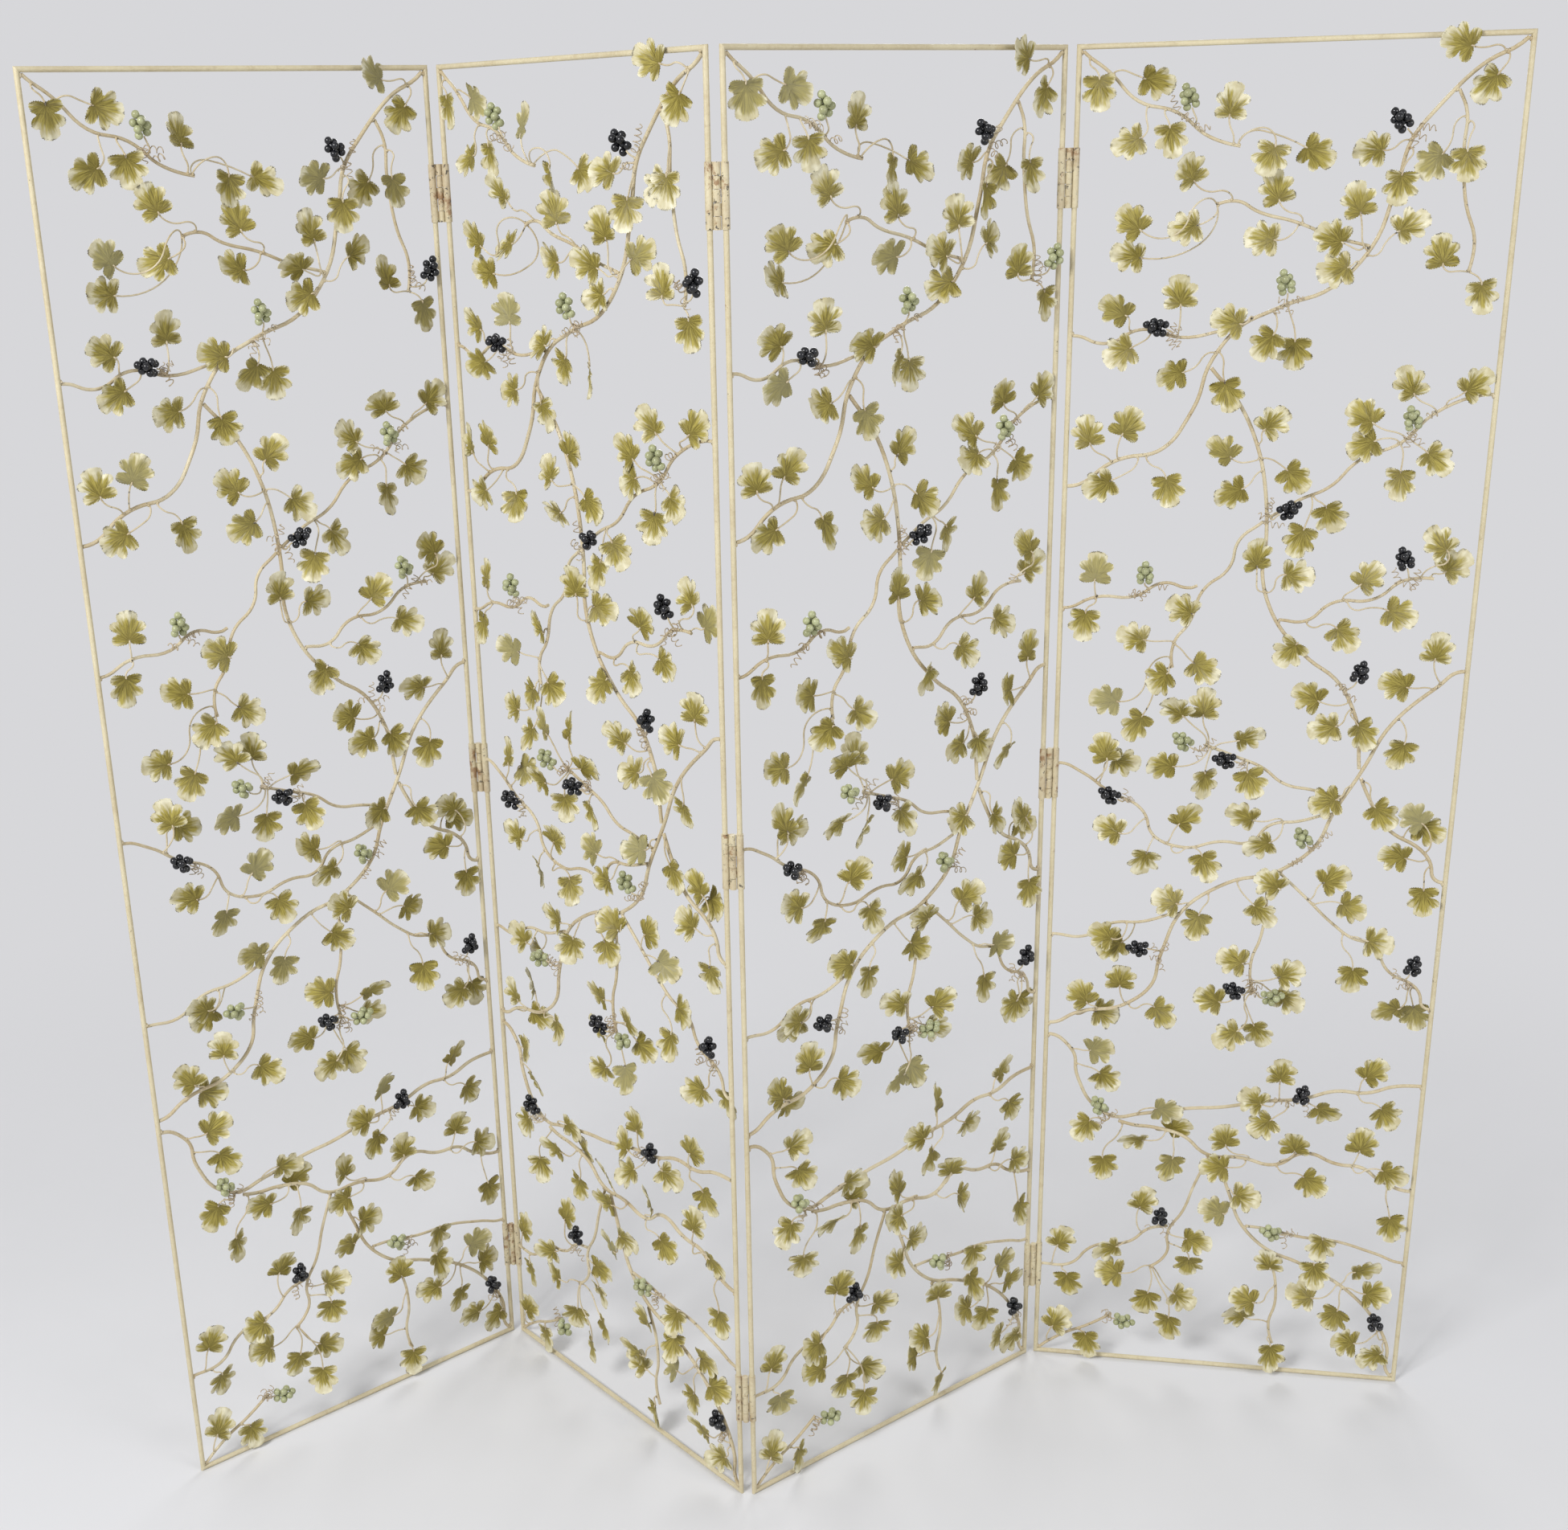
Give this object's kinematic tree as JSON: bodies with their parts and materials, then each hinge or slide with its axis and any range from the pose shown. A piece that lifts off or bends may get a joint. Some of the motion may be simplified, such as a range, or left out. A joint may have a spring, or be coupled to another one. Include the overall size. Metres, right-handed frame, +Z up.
{
  "type": "metal folding screen",
  "caption": "Zigzag folding screen of welded round rod: hinged open panels filled with painted grapevines, pleated sheet leaves, bunches of balls and wire tendrils.",
  "frame": {"origin": "on the floor under the middle fold line's hinge pins", "axes": "+Z up along the hinge pins, +X to the right along the screen as seen from its front, +Y to the back"},
  "size_m": [1.7092, 0.4117, 1.8409],
  "materials": {
    "frame_paint": "brushed antique cream paint",
    "vine_paint": "brushed antique cream paint",
    "stalk_paint": "brushed antique cream paint",
    "leaf_paint": "olive green brushed over cream",
    "tendril_paint": "brushed antique cream paint",
    "green_enamel": "glossy",
    "black_enamel": "glossy",
    "hinge_paint": "cream paint worn to rust at the knuckles"
  },
  "bodies": {
    "panel_1": {"fold_1_2_left_hinge_leaves": "hinge_paint", "fold_1_2_pins": "hinge_paint", "panel_1_black_grapes": "black_enamel", "panel_1_bottom_rail": "frame_paint", "panel_1_green_grapes": "green_enamel", "panel_1_leaves": "leaf_paint", "panel_1_left_stile": "frame_paint", "panel_1_main_vines": "vine_paint", "panel_1_right_stile": "frame_paint", "panel_1_side_vines": "vine_paint", "panel_1_stalks": "stalk_paint", "panel_1_tendrils": "tendril_paint", "panel_1_top_rail": "frame_paint"},
    "panel_2": {"fold_1_2_right_hinge_leaves": "hinge_paint", "fold_2_3_left_hinge_leaves": "hinge_paint", "fold_2_3_pins": "hinge_paint", "panel_2_black_grapes": "black_enamel", "panel_2_bottom_rail": "frame_paint", "panel_2_green_grapes": "green_enamel", "panel_2_leaves": "leaf_paint", "panel_2_left_stile": "frame_paint", "panel_2_main_vines": "vine_paint", "panel_2_right_stile": "frame_paint", "panel_2_side_vines": "vine_paint", "panel_2_stalks": "stalk_paint", "panel_2_tendrils": "tendril_paint", "panel_2_top_rail": "frame_paint"},
    "panel_3": {"fold_2_3_right_hinge_leaves": "hinge_paint", "fold_3_4_left_hinge_leaves": "hinge_paint", "fold_3_4_pins": "hinge_paint", "panel_3_black_grapes": "black_enamel", "panel_3_bottom_rail": "frame_paint", "panel_3_green_grapes": "green_enamel", "panel_3_leaves": "leaf_paint", "panel_3_left_stile": "frame_paint", "panel_3_main_vines": "vine_paint", "panel_3_right_stile": "frame_paint", "panel_3_side_vines": "vine_paint", "panel_3_stalks": "stalk_paint", "panel_3_tendrils": "tendril_paint", "panel_3_top_rail": "frame_paint"},
    "panel_4": {"fold_3_4_right_hinge_leaves": "hinge_paint", "panel_4_black_grapes": "black_enamel", "panel_4_bottom_rail": "frame_paint", "panel_4_green_grapes": "green_enamel", "panel_4_leaves": "leaf_paint", "panel_4_left_stile": "frame_paint", "panel_4_main_vines": "vine_paint", "panel_4_right_stile": "frame_paint", "panel_4_side_vines": "vine_paint", "panel_4_stalks": "stalk_paint", "panel_4_tendrils": "tendril_paint", "panel_4_top_rail": "frame_paint"}
  },
  "joints": [
    {"name": "fold_1_2", "type": "hinge", "parent": "panel_2", "child": "panel_1", "pos_m": [-0.34515, 0.40165, 0], "axis": [0, 0, 1], "range_deg": [-88.6, 66.4]},
    {"name": "fold_2_3", "type": "hinge", "parent": "panel_2", "child": "panel_3", "pos_m": [0, 0, 0], "axis": [0, 0, 1], "range_deg": [-86.6, 68.4]},
    {"name": "fold_3_4", "type": "hinge", "parent": "panel_3", "child": "panel_4", "pos_m": [0.43207, 0.30622, 0], "axis": [0, 0, 1], "range_deg": [-107.7, 47.3]}
  ]
}
